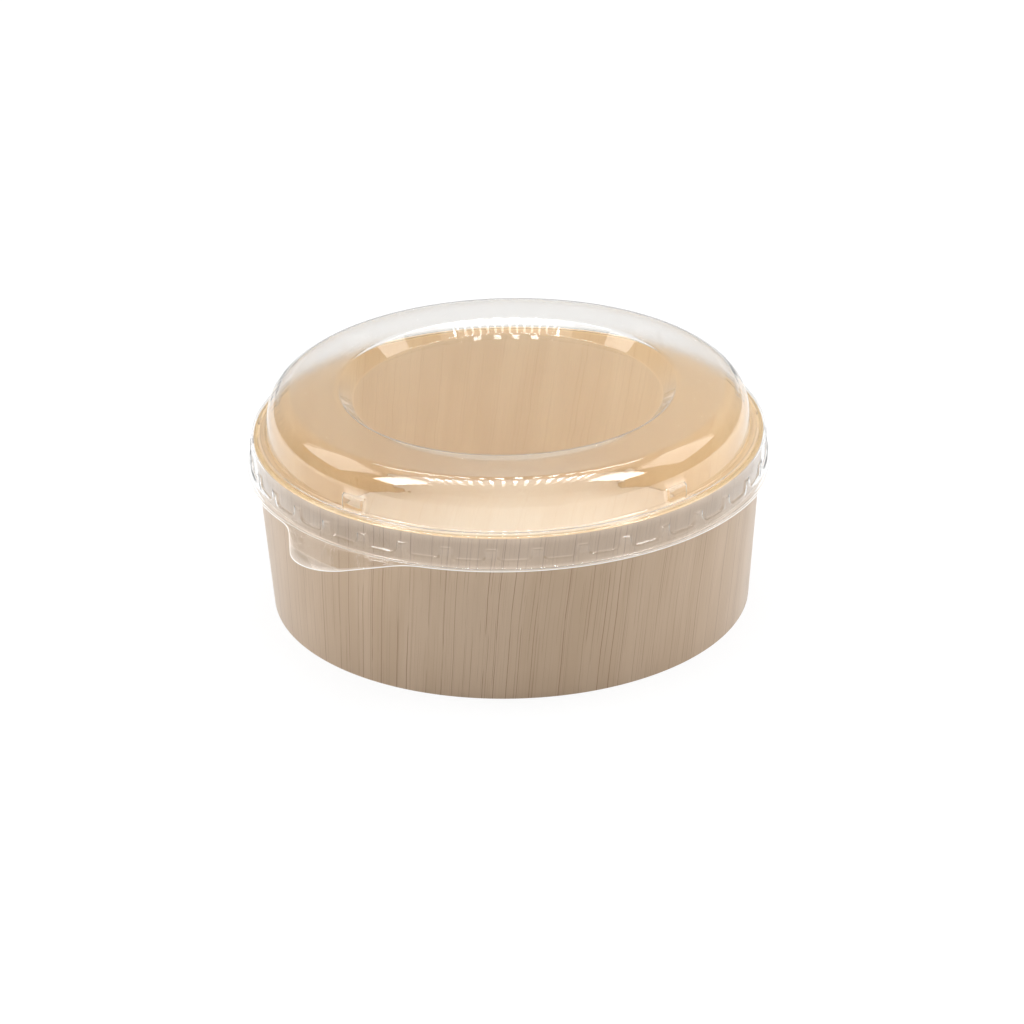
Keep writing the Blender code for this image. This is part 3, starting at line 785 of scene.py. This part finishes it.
def lug_angles():
    """Even steps, with fine ones at the sides of the stacking lugs."""
    angles = even_angles()
    reach = LUG_SPREAD / DOME_BASE_RADIUS
    for middle in LUG_ANGLES:
        low = middle - reach
        angles = [a for a in angles if not -1e-9 < turn_between(a, low) < 2.0 * reach + 1e-9]
        for step in range(LUG_STEPS + 1):
            share = step / LUG_STEPS
            share -= LUG_CROWDING * math.sin(2.0 * FULL_TURN * share) / FULL_TURN
            angles.append((low + 2.0 * reach * share) % FULL_TURN)
    return sorted(angles)


def snap_angles():
    """Fine steps at the flanks of each snap lug, wide ones on its face."""
    half = SNAP_SHARE / 2.0
    flank = SNAP_FLANK / (SNAP_PITCH * SKIRT_RADIUS)
    corner = SNAP_CORNER / (SNAP_PITCH * SKIRT_RADIUS)
    shares = [half * SNAP_FACE_STEP] + [half - part * corner for part in SNAP_CORNER_STEPS]
    shares += [half + part * flank for part in SNAP_FLANK_STEPS]
    places = [-share for share in reversed(shares)] + [0.0] + shares
    angles = [SNAP_FIRST + SNAP_PITCH * (lug + place) for lug in range(SNAP_COUNT) for place in places]
    return sorted(angle % FULL_TURN for angle in angles)


def tab_angles():
    """Even steps, with fine ones along the pull tab."""
    angles = [a for a in even_angles() if abs(turn_between(a, TAB_ANGLE)) > TAB_SPREAD]
    count = int(2.0 * TAB_SPREAD / TAB_STEP)
    for i in range(count):
        angles.append((TAB_ANGLE - TAB_SPREAD + 2.0 * TAB_SPREAD * (i + 0.5) / count) % FULL_TURN)
    return sorted(angles)


# The lid's meshes

def zip_rings(bm, a, angles_a, b, angles_b):
    """Faces between two rings whose points lie at different plan angles. a is the inner or upper ring."""
    if len(a) == 1 or angles_a is angles_b:
        join_rings(bm, a, b)
        return
    start = min(range(len(b)), key=lambda k: abs(turn_between(angles_b[k], angles_a[0])))
    i = 0
    j = 0
    while i < len(a) or j < len(b):
        here_a = a[i % len(a)]
        here_b = b[(start + j) % len(b)]
        next_a = angles_a[(i + 1) % len(a)]
        next_b = angles_b[(start + j + 1) % len(b)]
        ahead_a = turn_between(next_a, angles_a[0]) % FULL_TURN if i + 1 < len(a) else FULL_TURN
        ahead_b = turn_between(next_b, angles_a[0]) % FULL_TURN if j + 1 < len(b) else FULL_TURN
        if j >= len(b) or (i < len(a) and ahead_a <= ahead_b):
            bm.faces.new((here_a, here_b, a[(i + 1) % len(a)]))
            i += 1
        else:
            bm.faces.new((here_a, here_b, b[(start + j + 1) % len(b)]))
            j += 1


def film_offsets(rows):
    """From the outer face of a profile to its inner face, one film thickness along the mean normal."""
    normals = []
    for a, b in zip(rows, rows[1:]):
        along = (b - a).normalized()
        normals.append(Vector((-along.y, along.x)))
    pairs = zip([normals[0]] + normals, normals + [normals[-1]])
    return [(m + n) * (-FILM / (1.0 + m.dot(n))) for m, n in pairs]


def build_flange_edge():
    """The cut edge of the film, with a painted glow standing in for the light that gathers at it."""
    nodes = MaterialNodes("film_edge")
    nodes.set(Base_Color=EDGE_COLOR, Roughness=0.25, Emission_Color=PAINTED_EDGE_GLOW_COLOR,
              Emission_Strength=PAINTED_EDGE_GLOW)
    bm = bmesh.new()
    corners = ((0.0, FLANGE_TOP), (0.0, EDGE_BOTTOM), (EDGE_STRIP, EDGE_BOTTOM), (EDGE_STRIP, FLANGE_TOP))
    loops = []
    for angle in tab_angles():
        edge = tab_radius(angle)
        loops.append([bm.verts.new(plan_point(edge - inward, angle, height)) for inward, height in corners])
    for a, b in zip(loops, loops[1:] + loops[:1]):
        for i in range(4):
            j = (i + 1) % 4
            bm.faces.new((a[i], a[j], b[j], b[i]))
    bmesh.ops.recalc_face_normals(bm, faces=bm.faces)
    edge = finish_mesh("lid_film_edge", bm, nodes.material)
    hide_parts("lid")
    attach(edge, "lid")


def mark_creases(bm):
    """Store how tightly the film bends at each vertex, which sets the painted glow of pale lines along its
    folds.
    """
    layer = bm.verts.layers.float.new("crease")
    bm.normal_update()
    low, high = CREASE_BENDS
    for vert in bm.verts:
        bend = max(vert.normal.angle(edge.other_vert(vert).normal, 0.0) / edge.calc_length()
                   for edge in vert.link_edges)
        vert[layer] = smooth_step((bend - low) / (high - low))


def build_lid():
    """The film as two sheets of rings, one film thickness apart, joined along the flange's edge."""
    bm = bmesh.new()
    outward = bm.verts.layers.float.new("outward")      # 1 on the outer sheet, -1 on the inner one
    rings = []

    def add_ring(angles, outer_at, offset):
        outer = []
        inner = []
        for angle in angles:
            radius, height = outer_at(angle)
            outer.append(bm.verts.new(plan_point(radius, angle, height)))
            inner.append(bm.verts.new(plan_point(radius + offset.x, angle, height + offset.y)))
        rings.append((outer, inner, angles))

    even = even_angles()
    near_lugs = lug_angles()
    near_snaps = snap_angles()
    near_tab = tab_angles()
    top = dome_rows()
    plain, over_lug = side_rows(top[-1])
    top.append(side_at(top[-1], LUG_TOP + LUG_MARGIN))
    flat_side = [Vector((row.x, min(row.y, LEDGE_HEIGHT)) if row.x > BEAD_START else row) for row in plain]
    skirt = skirt_rows()
    offsets = film_offsets(top + flat_side + skirt)
    apex = [bm.verts.new((0.0, 0.0, top[0].y - depth)) for depth in (0.0, FILM)]
    rings.append((apex[:1], apex[1:], even))
    for row, offset in list(zip(top, offsets))[1:]:
        add_ring(even, lambda angle: row, offset)
    offsets = offsets[len(top):]
    for before, after, offset in zip(plain, over_lug, offsets):
        add_ring(near_lugs, lambda angle: before.lerp(after, lug_share(angle, min(after.y, LUG_TOP))), offset)
    offsets = offsets[len(plain):]
    for row, offset in zip(skirt, offsets):
        add_ring(near_snaps, lambda angle: (row.x + snap_step(angle, row.y), row.y), offset)
    foot = rounded(HEM_PROFILE)
    for row, offset in list(zip(foot, film_offsets(foot)))[1:-1]:
        add_ring(near_tab, lambda angle: row, offset)
    for share in FLANGE_SHARES:
        add_ring(near_tab, lambda angle: flange_point(angle, share), Vector((0.0, -FILM)))
    for (outer_a, inner_a, angles_a), (outer_b, inner_b, angles_b) in zip(rings, rings[1:]):
        zip_rings(bm, outer_a, angles_a, outer_b, angles_b)
        zip_rings(bm, inner_a, angles_a, inner_b, angles_b)
    outer, inner, _ = rings[-1]
    join_rings(bm, outer, inner)
    bmesh.ops.recalc_face_normals(bm, faces=bm.faces)
    for sheets in rings:
        for sheet, side in zip(sheets, (1.0, -1.0)):
            for vert in sheet:
                vert[outward] = side
    mark_creases(bm)
    lid = finish_mesh("lid_film", bm, clear_film(), sharp=math.radians(60))
    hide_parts("lid")
    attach(lid, "lid")


# The surroundings

def add_camera():
    data = bpy.data.cameras.new("camera")
    data.sensor_fit = "HORIZONTAL"
    data.sensor_width = SENSOR_WIDTH
    data.lens = FOCAL_PIXELS / FRAME_PIXELS * SENSOR_WIDTH
    data.shift_x = -CENTRE_SHIFT_PIXELS[0] / FRAME_PIXELS
    data.shift_y = CENTRE_SHIFT_PIXELS[1] / FRAME_PIXELS
    data.clip_start = CLIP_START
    data.clip_end = CLIP_END
    camera = bpy.data.objects.new("camera", data)
    bpy.context.scene.collection.objects.link(camera)
    back = Vector((0.0, -math.cos(CAMERA_ELEVATION), math.sin(CAMERA_ELEVATION)))
    place = Vector((0.0, 0.0, CAMERA_TARGET_HEIGHT)) + back * CAMERA_DISTANCE
    turn = back.to_track_quat("Z", "Y").to_matrix().to_4x4()
    camera.matrix_world = Matrix.Translation(place) @ turn @ Matrix.Rotation(-CAMERA_ROLL, 4, "Z")
    bpy.context.scene.camera = camera


def add_floor():
    """White sweep under the bowl: nearly white to the camera, with the bowl's soft shadow on it.

    It lights the bowl as a greyer floor would. In the film it is white only along a sheet's width.
    """
    bm = bmesh.new()
    bmesh.ops.create_grid(bm, x_segments=8, y_segments=8, size=FLOOR_HALF_SIZE)
    bmesh.ops.translate(bm, verts=bm.verts, vec=(0.0, 0.0, -FLOOR_DROP))
    nodes = MaterialNodes("white_table")
    rays = nodes.rays()
    nodes.set(Base_Color=nodes.mix(rays["Is Diffuse Ray"], FLOOR_COLOR, FLOOR_BOUNCE), Roughness=0.9,
              Specular_IOR_Level=0.0)
    glow = nodes.add("ShaderNodeEmission")
    glow.inputs["Color"].default_value = WHITE
    glow.inputs["Strength"].default_value = 1.0
    distance = nodes.math("ABSOLUTE", nodes.split(nodes.place())[0])
    beside = nodes.ramp(distance, SHEET_HALF_WIDTH, SHEET_HALF_WIDTH + SHEET_EDGE)
    hidden = nodes.math("MULTIPLY", beside, nodes.math("SUBTRACT", 1.0, rays["Is Camera Ray"]))
    seen = nodes.math("MAXIMUM", rays["Is Camera Ray"],
                      nodes.math("MAXIMUM", rays["Is Glossy Ray"], rays["Is Transmission Ray"]))
    share = nodes.math("MULTIPLY", seen, nodes.math("MULTIPLY_ADD", hidden, -SHEET_DROP, FLOOR_GLOW))
    nodes.put(nodes.mix_shaders(share, nodes.shader.outputs[0], glow.outputs[0]), nodes.output)
    floor = finish_mesh("table", bm, nodes.material)


def add_world():
    """White to the camera. In the film its sides are darker, and as light its front is."""
    world = bpy.data.worlds.new("studio")
    world.use_nodes = True
    nodes = Nodes(world.node_tree)
    x, y, z = nodes.split(nodes.place("Generated"))

    def background(strength):
        return nodes.fill(nodes.add("ShaderNodeBackground"), (WHITE, strength))

    light = background(nodes.ramp(y, *LIGHT_BY_Y))
    beside = background(nodes.ramp(nodes.math("ABSOLUTE", x), *FILM_BY_SIDE))
    front = background(nodes.ramp(z, *FILM_BY_Z))
    mirrored = nodes.mix_shaders(nodes.ramp(y, *FRONT_BY_Y), beside, front)
    rays = nodes.rays()
    in_film = nodes.math("MAXIMUM", rays["Is Glossy Ray"], rays["Is Transmission Ray"])
    shown = nodes.mix_shaders(in_film, light, mirrored)
    shown = nodes.mix_shaders(rays["Is Camera Ray"], shown, background(1.0))
    nodes.put(shown, nodes.tree.nodes["World Output"].inputs[0])
    bpy.context.scene.world = world


def add_area(name, place, aim, size, power):
    data = bpy.data.lights.new(name, "AREA")
    data.shape = "RECTANGLE"
    data.size, data.size_y = size
    data.energy = power
    lamp = bpy.data.objects.new(name, data)
    bpy.context.scene.collection.objects.link(lamp)
    turn = (Vector(place) - Vector(aim)).to_track_quat("Z", "Y").to_matrix().to_4x4()
    lamp.matrix_world = Matrix.Translation(place) @ turn
    return lamp


def add_leds():
    """Rows of bright strips overhead, which only the film's surface mirrors, as dots."""
    for row, (behind, depth, reach, count, radiance) in enumerate(LED_ROWS):
        nodes = MaterialNodes("led_glow_%d" % row)
        glow = nodes.add("ShaderNodeEmission")
        first = nodes.math("SUBTRACT", 1.0, nodes.rays()["Diffuse Depth"], clamp=True)
        nodes.put(nodes.math("MULTIPLY", first, radiance), glow.inputs["Strength"])
        nodes.put(glow.outputs[0], nodes.output)
        nodes.material.cycles.emission_sampling = "NONE"
        bm = bmesh.new()
        for index in range(count):
            centre = Vector((reach * (2.0 * index / (count - 1) - 1.0), behind, LED_HEIGHT))
            corners = [centre + Vector((LED_WIDTH / 2.0 * x, depth * y, 0.0))
                       for x, y in ((-1, -1), (-1, 1), (1, 1), (1, -1))]
            bm.faces.new([bm.verts.new(corner) for corner in corners])
        leds = finish_mesh("led_row_%d" % row, bm, nodes.material)
        for kind in ("camera", "diffuse", "transmission", "shadow", "volume_scatter"):
            setattr(leds, "visible_" + kind, False)


def add_window(name, turn, rise, size, radiance):
    """A lamp that shows in the lid towards one direction, a plan angle and a rise."""
    level = math.cos(rise)
    place = Vector((level * math.sin(turn), -level * math.cos(turn), math.sin(rise))) * WINDOW_DISTANCE
    return add_area(name, place, WINDOW_AIM, size, radiance * math.pi * size[0] * size[1])


def add_lights():
    overhead = add_area("overhead", *OVERHEAD)
    overhead.visible_glossy = False
    add_leds()
    for side, word in ((-1.0, "left"), (1.0, "right")):
        for kind, turn, rise, size, radiance, lights_wood in WINDOWS:
            lamp = add_window("%s_%s" % (kind, word), side * math.radians(turn), math.radians(rise),
                              size, radiance)
            lamp.visible_diffuse = lights_wood


def main():
    bpy.context.scene.view_settings.view_transform = "Standard"
    add_camera()
    add_world()
    add_lights()
    add_floor()
    build_bowl()
    build_lid()
    build_flange_edge()


main()
